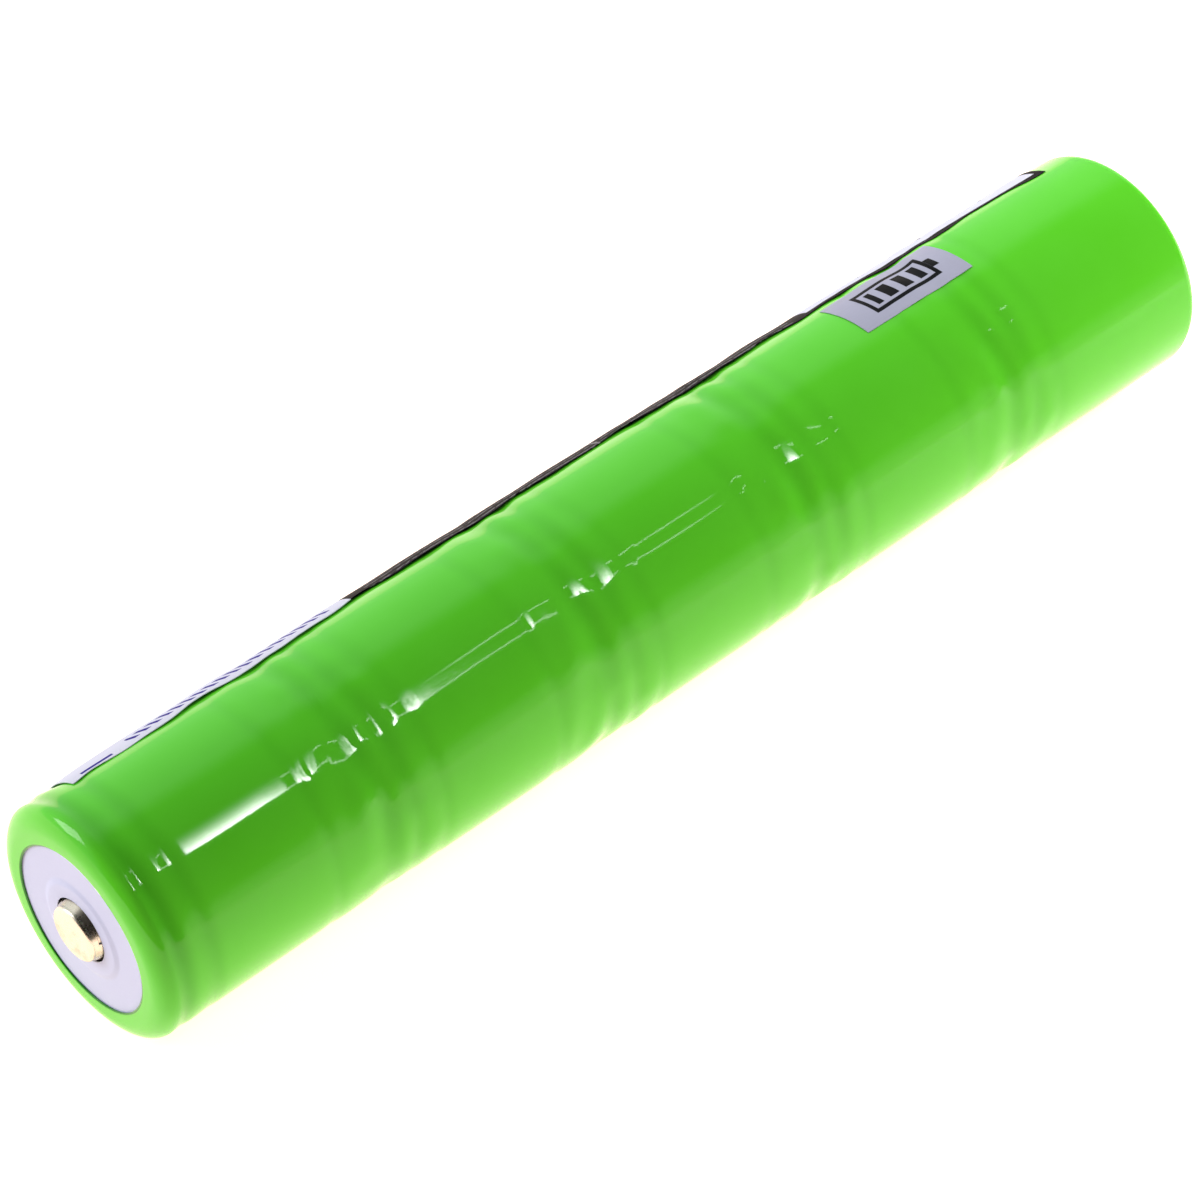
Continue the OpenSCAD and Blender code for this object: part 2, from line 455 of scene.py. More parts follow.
@dataclass(frozen=True)
class SleeveFilm(Finish):
    """Glossy shrunk PVC film, a little cloudy, with painted shade over its grooves and a cut edge darkened
    partly by painted shade.
    """

    name: str = "sleeve_film"
    body: Colour = (0.115, 0.70, 0.022)
    cloud: Colour = (0.135, 0.74, 0.036)
    shaded_cut_edge: Colour = (0.015, 0.22, 0.008)
    lip_radius: float = 12.1
    back_run: float = 100.0
    painted_groove_colour: Colour = (0.050, 0.40, 0.010)
    first_base: float = 34.7
    pitch: float = 37.2
    last_band: float = 170.0
    joint_shade_bands: tuple[ShadeBand, ...] = (
        ShadeBand(1.3, 2.6, 1.0),
        ShadeBand(5.3, 2.3, 0.8),
        ShadeBand(-7.6, 1.9, 0.45),
        ShadeBand(9.9, 2.2, 0.45),
    )
    front_shade_bands: tuple[ShadeBand, ...] = (ShadeBand(3.6, 2.4, 1.2), ShadeBand(8.0, 2.2, 0.5))
    roughness: float = 0.045

    def _painted_shade_in_grooves(self, tree: Tree, place: StickPlace) -> Value:
        """Painted shade over the grooves where the film sinks in: joints, beads and the front edge."""
        lead = 12.0
        past = (place.run - self.first_base + lead) % self.pitch - lead
        shade_at_joints = sum(band.shade(past) for band in self.joint_shade_bands)
        shade_at_joints = shade_at_joints * (1 - place.run.above(self.last_band, 4.0))
        shade_at_front = sum(band.shade(place.run) for band in self.front_shade_bands)
        return (shade_at_joints + shade_at_front) * (0.55 + 0.7 * tree.noise(place.point, 0.12, 1.0))

    def paint(self, tree: Tree, place: StickPlace) -> None:
        """Adds the clouds, painted shade over the grooves, the cut edge darkened partly by painted shade,
        fine grain and handling marks.
        """
        clouds = tree.noise(place.point, 0.09, 3.0)
        body = tree.mix(clouds, self.body, self.cloud)
        # painted shade: the film's colour is darkened over its grooves, where shade falls
        body = tree.mix(self._painted_shade_in_grooves(tree, place) * 0.25, body, self.painted_groove_colour)
        front = 1 - place.run.above(self.back_run, 1.0)
        # cut edge at the front lip: its own deeper green, darkened further as painted shade of the gap beside
        # the washer
        edge = (1 - place.radius.above(self.lip_radius, 0.12)) * front
        grain = tree.noise(place.point, 1.3, 2.0)
        stretched = tree.stretch(place.point, (0.25, 2.0, 2.0))
        scuffs = tree.noise(stretched, 2.2, 4.0, 0.65).above(0.68, 0.08)
        relief = tree.bump(tree.noise(place.point, 0.45, 1.5), 0.004)
        tree.surface(
            Base_Color=tree.mix(edge, body, self.shaded_cut_edge),
            Roughness=self.roughness + 0.03 * grain + 0.08 * scuffs,
            IOR=1.5,
            Specular_IOR_Level=0.3,
            Normal=tree.bump(grain, 0.0006, 0.6, relief),
        )


@dataclass(frozen=True)
class LabelCut:
    """Outline of the long label. Its lower edge rises in an arch over the middle of the stick.

    Attributes:
        runs: Runs of its two short edges.
        angles: Angles of its lower edge at the front and of its upper edge, in degrees.
        arch: How far the lower edge rises in the middle, in degrees.
        drop: How much lower the lower edge ends at the back, in degrees.
    """

    runs: tuple[float, float] = (7.0, 178.0)
    angles: tuple[float, float] = (31.0, 121.0)
    arch: float = 8.5
    drop: float = 2.0

    def low(self, run: object) -> object:
        """Angle of the lower edge at a run, which is a number, an array or a shader value."""
        along = (run - self.runs[0]) * (1 / (self.runs[1] - self.runs[0]))
        return along * (1 - along) * (4 * self.arch) - along * self.drop + self.angles[0]


@dataclass(frozen=True)
class LabelPrint(Finish):
    """Coated label: a pale field with blue marks, a dark field with fine lines, and a ruled table.

    Its marks are placed in millimetres along the stick and round it.
    """

    name: str = "label_print"
    cut: LabelCut = LabelCut()
    mm_per_degree: float = 0.29
    dark_field: tuple[float, float] = (53.0, 134.0)
    border: float = 1.0
    paper: Colour = (0.72, 0.73, 0.86)
    ink_blue: Colour = (0.03, 0.018, 0.27)
    ink_black: Colour = (0.006, 0.005, 0.008)
    ink_grey: Colour = (0.26, 0.25, 0.27)

    def _up(self, place: StickPlace) -> Value:
        """Distance round the stick from the level of the label's front lower corner."""
        return place.arc - self.cut.angles[0] * self.mm_per_degree

    def _over_edge(self, place: StickPlace) -> Value:
        """Distance round the stick from the label's lower edge."""
        return place.arc - self.cut.low(place.run) * self.mm_per_degree

    def _pale_marks(self, place: StickPlace) -> Value:
        """Blue marks of the pale field: a stroke, a row of dashes, a wide band of bars and a plus sign."""
        up = self._up(place)
        over = self._over_edge(place)
        slanted = place.run + 0.8 * up
        dashes = slanted.lines(1.9, 0.95) * over.between(1.2, 2.9) * place.run.between(17, 50)
        stroke = over.between(0.7, 1.35) * place.run.between(9, 14)
        bars = slanted.lines(4.6, 2.6) * up.between(8, 17) * place.run.between(20, 50)
        upright = place.run.between(12.3, 13.7) * up.between(9.5, 15.5)
        flat = place.run.between(10, 16) * up.between(11.8, 13.2)
        return dashes.most(stroke).most(bars).most(upright.most(flat))

    def _dark_marks(self, tree: Tree, place: StickPlace) -> Value:
        """Grey marks of the dark field: rows of broken fine lines."""
        rows = self._over_edge(place).lines(1.3, 0.45, 0.1)
        broken = tree.noise(tree.stretch(place.point, (0.8, 1.6, 1.6)), 1.6, 2.0, 0.6)
        text = rows * broken.above(0.47, 0.06) * place.run.between(56, 131)
        hairline = place.run.between(95.7, 96.1)
        return (text * 0.6).most(hairline)

    def _table_marks(self, place: StickPlace) -> Value:
        """Black marks of the table field: its ruled lines and its border."""
        up = self._up(place)
        width = (self.cut.angles[1] - self.cut.angles[0]) * self.mm_per_degree
        inside = place.run.between(138, 174) * up.between(4, width - 3)
        rows = up.lines(2.9, 0.28) * inside
        columns = place.run.lines(12.0, 0.28) * inside
        long_edges = (1 - self._over_edge(place).above(self.border)).most(up.above(width - self.border))
        border = long_edges.most(place.run.above(self.cut.runs[1] - self.border))
        return rows.most(columns).most(border)

    def paint(self, tree: Tree, place: StickPlace) -> None:
        """Adds the three printed fields and the coating's faint grain."""
        tooth = tree.noise(place.point, 3.0, 3.0)
        paper = tree.mix(tooth, self.paper, tuple(0.95 * part for part in self.paper))
        pale = tree.mix(self._pale_marks(place), paper, self.ink_blue)
        dark = tree.mix(self._dark_marks(tree, place), self.ink_black, self.ink_grey)
        table = tree.mix(self._table_marks(place), paper, self.ink_black)
        past_pale = place.run.above(self.dark_field[0])
        past_dark = place.run.above(self.dark_field[1])
        tree.surface(
            Base_Color=tree.mix(past_dark, tree.mix(past_pale, pale, dark), table),
            Roughness=0.50 + 0.12 * tooth,
            Specular_IOR_Level=0.04,
            Normal=tree.bump(tooth, 0.002, 0.5),
        )


@dataclass(frozen=True)
class StickerFoil(Finish):
    """Silver-grey foil with a black battery sign: a frame, a nub and three bars."""

    name: str = "sticker_foil"
    middle_run: float = 144.3
    middle_arc: float = 4.1
    half_length: float = 6.2
    half_width: float = 2.9
    line: float = 0.7
    foil: Colour = (0.46, 0.46, 0.58)
    ink: Colour = (0.004, 0.004, 0.005)

    def _sign(self, place: StickPlace) -> Value:
        """The battery sign."""
        along = place.run - self.middle_run
        across = abs(place.arc - self.middle_arc)
        outer = abs(along).between(-1, self.half_length) * across.between(-1, self.half_width)
        inner = abs(along).between(-1, self.half_length - self.line) * across.between(
            -1, self.half_width - self.line
        )
        nub = along.between(self.half_length, self.half_length + 1.2) * across.between(-1, 1.1)
        spread = (along + 0.45 * self.half_length).lines(2.9, 1.7)
        bars = spread * abs(along).between(-1, 4.7) * across.between(-1, self.half_width - 1.25)
        return (outer - inner).most(nub).most(bars)

    def paint(self, tree: Tree, place: StickPlace) -> None:
        """Adds the sign and the brushed sheen of the foil."""
        brushed = tree.stretch(place.point, (0.3, 6.0, 6.0))
        streaks = tree.noise(brushed, 1.4, 3.0)
        foil = tree.mix(streaks, self.foil, tuple(0.9 * part for part in self.foil))
        sign = self._sign(place)
        tree.surface(
            Base_Color=tree.mix(sign, foil, self.ink),
            Roughness=0.42 + 0.1 * streaks,
            Specular_IOR_Level=0.08,
            Normal=tree.bump(streaks, 0.002, 0.5),
        )


@dataclass(frozen=True)
class WasherPaper(Finish):
    """Hard white insulating paper with short fibres and a faint sheen."""

    name: str = "washer_paper"
    paper: Colour = (0.55, 0.61, 0.84)
    fibre: Colour = (0.50, 0.55, 0.78)

    def paint(self, tree: Tree, place: StickPlace) -> None:
        """Adds fibres and the faint tooth of pressed paper."""
        fibres = tree.noise(tree.stretch(place.point, (1.0, 0.7, 2.6)), 1.6, 5.0, 0.7)
        tooth = tree.noise(place.point, 7.0, 2.0)
        tree.surface(
            Base_Color=tree.mix(fibres, self.paper, self.fibre),
            Roughness=0.42 + 0.2 * tooth,
            Normal=tree.bump(fibres, 0.006, 0.6),
        )


class Grain(Enum):
    """Direction of the fine lines that a tool leaves in metal, as stretches along X, Y and Z."""

    ALONG = (0.12, 3.0, 3.0)
    ACROSS = (3.0, 0.2, 0.2)
    EVEN = (1.0, 1.0, 1.0)


@dataclass(frozen=True)
class PlatedMetal(Finish):
    """Nickel-plated metal with tool lines, small pits and a little tarnish."""

    name: str = "plated_metal"
    bright: Colour = (0.74, 0.72, 0.68)
    tarnish: Colour = (0.52, 0.46, 0.38)
    grain: Grain = Grain.EVEN
    roughness: float = 0.2
    tarnish_from: float = 0.58

    def paint(self, tree: Tree, place: StickPlace) -> None:
        """Adds tool lines, pits and patches of tarnish."""
        lines = tree.noise(tree.stretch(place.point, self.grain.value), 2.4, 4.0, 0.6)
        patches = tree.noise(place.point, 0.35, 4.0, 0.6).above(self.tarnish_from, 0.3)
        pits = tree.noise(place.point, 5.0, 2.0).above(0.7, 0.1)
        relief = tree.bump(lines, 0.002, 0.7)
        tree.surface(
            Base_Color=tree.mix(patches * 0.6, self.bright, self.tarnish),
            Metallic=1.0,
            Roughness=self.roughness + 0.12 * lines + 0.1 * patches,
            Normal=tree.bump(1 - pits, 0.003, 0.6, relief),
        )


@dataclass(frozen=True)
class Moulded(Finish):
    """Moulded or cut plastic or rubber with a fine skin and flow clouds."""

    name: str = "moulded"
    body: Colour = (0.8, 0.8, 0.8)
    cloud: Colour = (0.7, 0.7, 0.7)
    roughness: float = 0.4
    skin_scale: float = 2.5
    skin_depth: float = 0.01

    def paint(self, tree: Tree, place: StickPlace) -> None:
        """Adds flow clouds and the skin of the mould."""
        clouds = tree.noise(place.point, 0.25, 3.0)
        skin = tree.noise(place.point, self.skin_scale, 3.0, 0.6)
        tree.surface(
            Base_Color=tree.mix(clouds, self.body, self.cloud),
            Roughness=self.roughness + 0.15 * skin,
            Normal=tree.bump(skin, self.skin_depth, 0.7),
        )


@dataclass(frozen=True)
class PressedPowder(Finish):
    """Powder pressed on a metal carrier: dark grains with bright specks of metal."""

    name: str = "pressed_powder"
    powder: Colour = (0.05, 0.07, 0.06)
    dust: Colour = (0.12, 0.14, 0.13)
    speck: Colour = (0.5, 0.5, 0.5)

    def paint(self, tree: Tree, place: StickPlace) -> None:
        """Adds grains, dust and specks."""
        grains = tree.noise(place.point, 6.0, 4.0, 0.7)
        dust = tree.noise(place.point, 0.5, 3.0)
        specks = tree.noise(place.point, 9.0, 1.0).above(0.72, 0.05)
        powder = tree.mix(dust, self.powder, self.dust)
        tree.surface(
            Base_Color=tree.mix(specks, powder, self.speck),
            Metallic=specks * 0.8,
            Roughness=0.75 - 0.3 * specks,
            Normal=tree.bump(grains, 0.03, 0.9),
        )


@dataclass(frozen=True)
class Felt(Finish):
    """Non-woven felt: matted fibres that run mostly along the sheet."""

    name: str = "separator_felt"
    fibre: Colour = (0.80, 0.79, 0.72)
    hollow: Colour = (0.55, 0.54, 0.48)

    def paint(self, tree: Tree, place: StickPlace) -> None:
        """Adds two crossing layers of fibres."""
        along = tree.noise(tree.stretch(place.point, (0.4, 3.0, 3.0)), 3.0, 4.0, 0.7)
        across = tree.noise(tree.stretch(place.point, (4.0, 0.6, 0.6)), 3.0, 4.0, 0.7)
        mat = along.most(across)
        tree.surface(
            Base_Color=tree.mix(mat, self.hollow, self.fibre),
            Roughness=0.85 + 0.1 * mat,
            Sheen_Weight=0.4,
            Normal=tree.bump(mat, 0.05, 0.9),
        )


# ---------------------------------------------------------------- the film's surface


@dataclass(frozen=True)
class Dent:
    """A small dent or pimple in the film.

    Attributes:
        run: Run of its middle.
        angle: Angle of its middle, in degrees.
        depth: Depth, or height when negative, in millimetres.
        long: Half length along the stick.
        wide: Half width round the stick.
        skew: How far the dent leans along the stick for each millimetre round it.
    """

    run: float
    angle: float
    depth: float
    long: float
    wide: float
    skew: float = 0.0


@dataclass(frozen=True)
class FilmSurface:
    """How far the outside of the film lies above or below its plain round shape.

    The film is tight and straight over the middle of each cell. At each joint it sinks into the gap,
    follows the groove rolled in the next can, and carries rings, slack waves, puckers and dents.
    Each front groove has a run, a half width and a depth.
    """

    stick: Stick
    front_grooves: tuple[tuple[float, float, float], ...] = ((3.5, 1.15, 0.24), (8.0, 1.1, 0.09))
    gap_after_base: float = 1.2
    gap_depth: float = 0.26
    gap_half_width: float = 2.1
    bead_after_base: float = 5.24
    bead_depth: float = 0.16
    bead_half_width: float = 1.5
    ring_before_base: float = 7.6
    ring_after_base: float = 9.9
    ring_depth: float = 0.08
    ring_half_width: float = 1.15
    slack_reach: float = 7.5
    slack_height: float = 0.05
    pucker_height: float = 0.02
    ripple_height: float = 0.05
    faint_height: float = 0.004
    busy_front: float = 10.0
    busy_joint: tuple[float, float] = (-10.0, 12.5)
    dents_per_joint: int = 9
    seed: int = 7

    @property
    def joints(self) -> tuple[float, ...]:
        """Runs of the cell bases that have a joint behind them."""
        return self.stick.bases[:-1]

    def waves(
        self,
        run: np.ndarray,
        angle: np.ndarray,
        count: int,
        turns: tuple[int, int],
        lengths: tuple[float, float],
        salt: int,
    ) -> np.ndarray:
        """Adds up seeded waves that close on themselves round the stick.

        Args:
            run: Runs of the points.
            angle: Angles of the points.
            count: Number of waves.
            turns: Least and most waves round the stick.
            lengths: Shortest and longest wave along the stick.
            salt: Number that sets this group of waves apart.

        Returns:
            The sum, with a size of about 1.
        """
        draw = np.random.default_rng(self.seed + salt)
        total = 0.0
        for _ in range(count):
            around = int(draw.integers(turns[0], turns[1] + 1)) * (1 if draw.random() < 0.5 else -1)
            along = 2 * np.pi / draw.uniform(*lengths)
            total = total + np.cos(around * np.radians(angle) + along * run + draw.uniform(0, 2 * np.pi))
        return total * (2 / count) ** 0.5

    def _ring(self, run: np.ndarray, centre: float, half_width: float) -> np.ndarray:
        """A soft ring of height 1 round the stick."""
        return np.exp(-(((run - centre) / half_width) ** 2))

    def sags(self, run: np.ndarray, angle: np.ndarray) -> np.ndarray:
        """Depth of the grooves that run right round the stick.

        Args:
            run: Runs of the points.
            angle: Angles of the points.

        Returns:
            Depths in millimetres, 0 or more.
        """
        total = 0.0
        for centre, half_width, depth in self.front_grooves:
            total = total + depth * self._ring(run, centre, half_width)
        for number, base in enumerate(self.joints):
            strongest = -75 - 67 * number
            uneven = 0.8 + 0.35 * np.cos(np.radians(angle - strongest))
            gap = self._ring(run, base + self.gap_after_base, self.gap_half_width)
            bead = self._ring(run, base + self.bead_after_base, self.bead_half_width)
            before = self._ring(run, base - self.ring_before_base, self.ring_half_width)
            after = self._ring(run, base + self.ring_after_base, self.ring_half_width)
            shallow = self.bead_depth * bead + self.ring_depth * (before + after)
            total = total + self.gap_depth * gap + uneven * shallow
        return total

    def slack(self, run: np.ndarray) -> np.ndarray:
        """How slack the film is: near 1 at a joint and at both ends, near 0 over the middle of a can."""
        total = 0.6 * np.exp(-((run - 2.5) / 3.5) ** 2)
        for base in self.joints:
            total = total + np.exp(-(((run - base - 1.5) / self.slack_reach) ** 4))
        return total

    def is_busy(self, run: float) -> bool:
        """Whether the film is uneven at a run, so that it needs close rows of points."""
        near_joint = any(self.busy_joint[0] < run - base < self.busy_joint[1] for base in self.joints)
        near_dent = any(abs(run - dent.run) < 2 * dent.long + 1 for dent in self.dents())
        return run < self.busy_front or near_joint or near_dent

    def dents(self) -> list[Dent]:
        """Lists the dents: the given ones in front, and seeded ones all round each joint."""
        found = [
            Dent(5.8, -33, -0.07, 1.0, 1.4),
            Dent(4.2, -35, -0.04, 0.35, 1.6),
            Dent(29.0, -32, 0.05, 0.4, 1.4, 0.3),
            Dent(33.0, -34, 0.03, 0.4, 0.6),
            Dent(36.4, -32, 0.04, 0.5, 1.0, 0.4),
            Dent(38.8, -31, 0.05, 0.5, 1.3, 0.8),
            Dent(42.2, -31, 0.05, 0.6, 1.4, 0.9),
            Dent(46.4, -31, 0.04, 0.6, 1.1, 0.5),
            Dent(66.0, -31, 0.05, 0.35, 1.6, 0.2),
            Dent(76.5, -30, 0.045, 0.4, 1.4, 1.0),
            Dent(83.5, -33, 0.045, 0.4, 1.4, 1.0),
            Dent(102.4, -31, 0.045, 0.4, 1.3, 1.0),
            Dent(114.0, -29, 0.045, 0.4, 1.1, 0.9),
            Dent(119.0, -33, 0.045, 0.4, 1.1, 0.9),
            Dent(138.5, -31, 0.045, 0.45, 1.1, 0.7),
            Dent(151.3, -33, 0.07, 1.0, 1.0),
            Dent(151.3, -33, -0.05, 0.35, 0.35),
            Dent(3.6, 58, -0.34, 2.2, 4.0),
            Dent(6.0, 47, 0.12, 1.2, 1.6, 0.8),
        ]
        draw = np.random.default_rng(self.seed)
        for base in self.joints:
            for _ in range(self.dents_per_joint):
                angle = draw.uniform(-5, 300)
                run = base + draw.uniform(-7, 11)
                depth = draw.uniform(0.02, 0.05)
                long = draw.uniform(0.7, 1.4)
                wide = draw.uniform(1.0, 2.4)
                found.append(Dent(run, angle, depth, long, wide, draw.uniform(-0.6, 0.6)))
        return found

    def _dent_depth(self, run: np.ndarray, angle: np.ndarray) -> np.ndarray:
        """Depth of all dents at the points."""
        total = np.zeros(np.broadcast(run, angle).shape)
        for dent in self.dents():
            round_by = ((angle - dent.angle + 180) % 360 - 180) * math.radians(self.stick.radius)
            along = run - dent.run - dent.skew * np.abs(round_by)
            reach = (along / dent.long) ** 2 + (round_by / dent.wide) ** 2
            total += dent.depth * np.exp(-reach)
        return total

    def offset(self, run: np.ndarray, angle: np.ndarray) -> np.ndarray:
        """Height of the film's outside over its plain round shape.

        Args:
            run: Runs of the points.
            angle: Angles of the points.

        Returns:
            Heights in millimetres, negative where the film sinks in.
        """
        slack = self.slack(run)
        waves = self.slack_height * slack * self.waves(run, angle, 7, (1, 7), (5.5, 11.0), 11)
        puckers = self.pucker_height * slack * self.waves(run, angle, 6, (9, 26), (14.0, 40.0), 23)
        ripple = self.ripple_height * self.waves(run, angle, 4, (1, 4), (40.0, 90.0), 37)
        faint = self.faint_height * self.waves(run, angle, 8, (3, 14), (9.0, 30.0), 41)
        return waves + puckers + ripple + faint - self.sags(run, angle) - self._dent_depth(run, angle)


# ---------------------------------------------------------------- the pieces


@dataclass
class ShrinkSleeve:
    """Green film over the whole stick, turned in over both ends."""

    stick: Stick
    surface: FilmSurface
    film: float = 0.25
    front_lip: float = 11.9
    back_lip: float = 13.0
    front_round: tuple[float, float] = (2.4, 3.2)
    back_round: tuple[float, float] = (1.7, 1.6)
    lip_wobble: tuple[float, float] = (0.10, 0.05)
    wobble_reach: float = 1.3
    columns: int = 184
    fine_step: float = 0.3
    wide_step: float = 1.0
    inner_step: float = 3.0

    def _barrel_runs(self, start: float, end: float) -> list[float]:
        """Runs of the rows along the barrel: close together where the film is slack."""
        runs, run = [], start
        while run < end:
            runs.append(run)
            run += self.fine_step if self.surface.is_busy(run) else self.wide_step
        return [*runs, end]

    def _outer_rows(self) -> list[tuple[float, float, float]]:
        """Rows of the outside as run, radius and how much of the film's waves they take."""
        radius, length = self.stick.radius, self.stick.length
        front_long, front_tall = self.front_round
        back_long, back_tall = self.back_round
        near_lip = self.front_lip
        lip = [(self.film - 0.02, near_lip + 0.04), (0.12, near_lip), (0.05, near_lip + 0.07)]
        face = [(0.0, r) for r in np.linspace(near_lip + 0.18, radius - front_tall, 6)[:-1]]
        front = arc((front_long, radius - front_tall), (front_long, front_tall), 180, 90, 22)
        back = arc((length - back_long, radius - back_tall), (back_long, back_tall), 90, 0, 12)
        back_face = [(length, r) for r in np.linspace(radius - back_tall, self.back_lip + 0.12, 4)[1:]]
        back_lip = [(length - 0.08, self.back_lip), (length - self.film + 0.02, self.back_lip + 0.03)]
        rows = [(run, r, 0.0) for run, r in lip + face]
        rows += [(run, r, ((r - radius + front_tall) / front_tall) ** 2) for run, r in front]
        barrel = self._barrel_runs(front_long + self.fine_step, length - back_long - self.wide_step / 2)
        rows += [(run, radius, 1.0) for run in barrel]
        rows += [(run, r, max(0.0, (r - radius + back_tall) / back_tall) ** 2) for run, r in back]
        return rows + [(run, r, 0.0) for run, r in back_face + back_lip]

    def _inner_rows(self) -> list[tuple[float, float]]:
        """Rows of the inside, from the back lip to the front lip, as run and radius."""
        inner, length = self.stick.radius - self.film, self.stick.length
        back_turn, front_turn = 1.25, self.front_round[0] - self.film
        back = arc((length - self.film - back_turn, inner - back_turn), (back_turn, back_turn), 0, 90, 5)
        front = arc((self.front_round[0], inner - front_turn), (front_turn, front_turn), 90, 180, 6)
        barrel = [(float(run), inner) for run in np.arange(length - 3, 4, -self.inner_step)]
        return [*back, *barrel, *front]

    def _lip_shift(self, run: np.ndarray, angle: np.ndarray, radius: np.ndarray) -> np.ndarray:
        """How far the front lip's points move, in metres, because a shrunk edge is never quite round."""
        oval, lobes = self.lip_wobble
        wobble = oval * np.cos(np.radians(2 * angle + 40)) + lobes * np.cos(np.radians(5 * angle))
        near_lip = np.clip((self.front_lip + self.wobble_reach - radius) / self.wobble_reach, 0, 1)
        shade_at_front = run < self.stick.length / 2
        still = self.stick.place(run * 0, angle, 0)
        return self.stick.place(run * 0, angle, wobble * near_lip * shade_at_front) - still

    def build(self) -> bpy.types.Object:
        """Builds the film as one closed sheet with an outside and an inside, resting on the floor."""
        angle = np.linspace(0, 360, self.columns, endpoint=False)[None, :]
        rows = self._outer_rows()
        run = np.array([row[0] for row in rows])[:, None]
        radius = np.array([row[1] for row in rows])[:, None]
        share = np.array([row[2] for row in rows])[:, None]
        outer = self.stick.place(run, angle, radius + share * self.surface.offset(run, angle))
        outer += self._lip_shift(run, angle, radius)
        rows_in = self._inner_rows()
        run_in = np.array([row[0] for row in rows_in])[:, None]
        radius_in = np.array([row[1] for row in rows_in])[:, None]
        on_barrel = radius_in > self.stick.radius - self.film - 0.01
        inner = self.stick.place(run_in, angle, radius_in - self.surface.sags(run_in, angle) * on_barrel)
        points = np.concatenate([outer, inner])
        floor_z = 0.0
        points[..., 2] = np.maximum(points[..., 2], floor_z)
        faces = grid_faces(len(points), self.columns, close_rows=True)
        return new_piece("shrink_sleeve_film", points, faces, 60)


@dataclass
class StuckSheet:
    """A thin printed sheet stuck on the film between two runs and two angles.

    Attributes:
        name: Name of the piece.
        stick: Sizes of the stick.
        surface: Surface that it lies on.
        runs: Runs of its short edges.
        angles: Angles of its long edges, in degrees.
        thick: Thickness.
        lift: Mean height of its outside over the film's plain round shape.
        follow: How much of the film's grooves it follows.
        step: Size of its faces.
        crumple: Height of its own waves.
        edge_wave: How far its lower edge strays, in degrees.
        bulge: Height of its crown, where it stands off the film.
        cut: Outline of its lower edge, where that isn't straight.
    """

    name: str
    stick: Stick
    surface: FilmSurface
    runs: tuple[float, float]
    angles: tuple[float, float]
    thick: float = 0.1
    lift: float = 0.12
    follow: float = 0.45
    step: float = 0.55
    crumple: float = 0.04
    edge_wave: float = 0.0
    bulge: float = 0.0
    cut: LabelCut | None = None

    def _low_edge(self, run: np.ndarray) -> np.ndarray:
        """Angle of the lower edge, in degrees."""
        if self.cut is None:
            return self.angles[0] + 0 * run
        draw = np.random.default_rng(31)
        stray = np.zeros_like(run)
        for length in (9.0, 14.0, 23.0, 37.0):
            stray += np.cos(2 * np.pi * run / length + draw.uniform(0, 2 * np.pi)) / 2
        return self.cut.low(run) + self.edge_wave * stray

    def _height(self, run: np.ndarray, angle: np.ndarray) -> np.ndarray:
        """Height of the sheet's outside over the plain round shape."""
        sunk = -self.follow * self.surface.sags(run, angle)
        waves = self.crumple * self.surface.waves(run, angle, 6, (2, 9), (11.0, 26.0), 53)
        along = (run - self.runs[0]) / (self.runs[1] - self.runs[0])
        across = (angle - self.angles[0]) / (self.angles[1] - self.angles[0])
        crown = self.bulge * np.sin(np.pi * np.sqrt(along)) * (1 - (1 - 2 * across) ** 4)
        floor = self.surface.offset(run, angle) + self.thick + 0.02
        return np.maximum(sunk + waves + crown + self.lift, floor)

    def build(self) -> bpy.types.Object:
        """Builds the sheet as one closed thin solid."""
        rows = int((self.runs[1] - self.runs[0]) / self.step)
        width = (self.angles[1] - self.angles[0]) * math.radians(self.stick.radius)
        columns = int(width / self.step)
        run = np.linspace(*self.runs, rows)[:, None]
        share = np.linspace(0, 1, columns)[None, :]
        low = self._low_edge(run)
        angle = low + (self.angles[1] - low) * share
        height = self._height(run, angle)
        outer = self.stick.place(run, angle, self.stick.radius + height)
        inner = self.stick.place(run, angle, self.stick.radius + height - self.thick)
        points = np.concatenate([outer, inner[:, ::-1]], axis=1)
        faces = grid_faces(rows, 2 * columns, close_rows=False)
        for row in (0, rows - 1):
            first = row * 2 * columns
            for k in range(columns - 1):
                far = 2 * columns - 1
                faces.append((first + k, first + k + 1, first + far - k - 1, first + far - k))
        return new_piece(self.name, points, faces, 40)


@dataclass
class FrontWasher:
    """White paper washer, pressed up into a soft collar by the button's flange under it."""

    stick: Stick
    outer: float = 14.3
    hole: float = 4.6
    collar: float = 6.3
    rise: float = 0.28
    slope: float = 1.1
    thick: float = 0.18
    collar_end: float = 8.2
    flat_start: float = 8.6
    columns: int = 160

    def _rise_at(self, radius: np.ndarray) -> np.ndarray:
        """How far the washer's face stands out at a distance from the axis."""
        step = np.clip((self.collar + self.slope - radius) / self.slope, 0, 1)
        return self.rise * step * step * (3 - 2 * step)

    def build(self) -> bpy.types.Object:
        """Builds the washer as one closed ring."""
        on_collar = np.linspace(self.hole, self.collar_end, 24)
        on_flat = np.linspace(self.flat_start, self.outer, 14)
        front_r = np.concatenate([on_collar, on_flat])[:, None]
        back_r = front_r[::-1]
        angle = np.linspace(0, 360, self.columns, endpoint=False)[None, :]
        face_run = self.stick.washer_x - self.stick.front_x
        ripple = 0.012 * np.cos(np.radians(3 * angle + 50)) + 0.008 * np.cos(np.radians(7 * angle))
        is_rippled = (front_r > self.collar + 0.2) & (front_r < self.outer - 0.3)
        front_run = face_run - self._rise_at(front_r) - ripple * is_rippled
        back_run = face_run + self.thick - self._rise_at(back_r) + 0 * angle
        run = np.concatenate([front_run, back_run])
        radius = np.concatenate([front_r, back_r]) + 0 * angle
        points = self.stick.place(run, angle, radius)
        faces = grid_faces(len(points), self.columns, close_rows=True)
        return new_piece("front_washer", points, faces, 40)


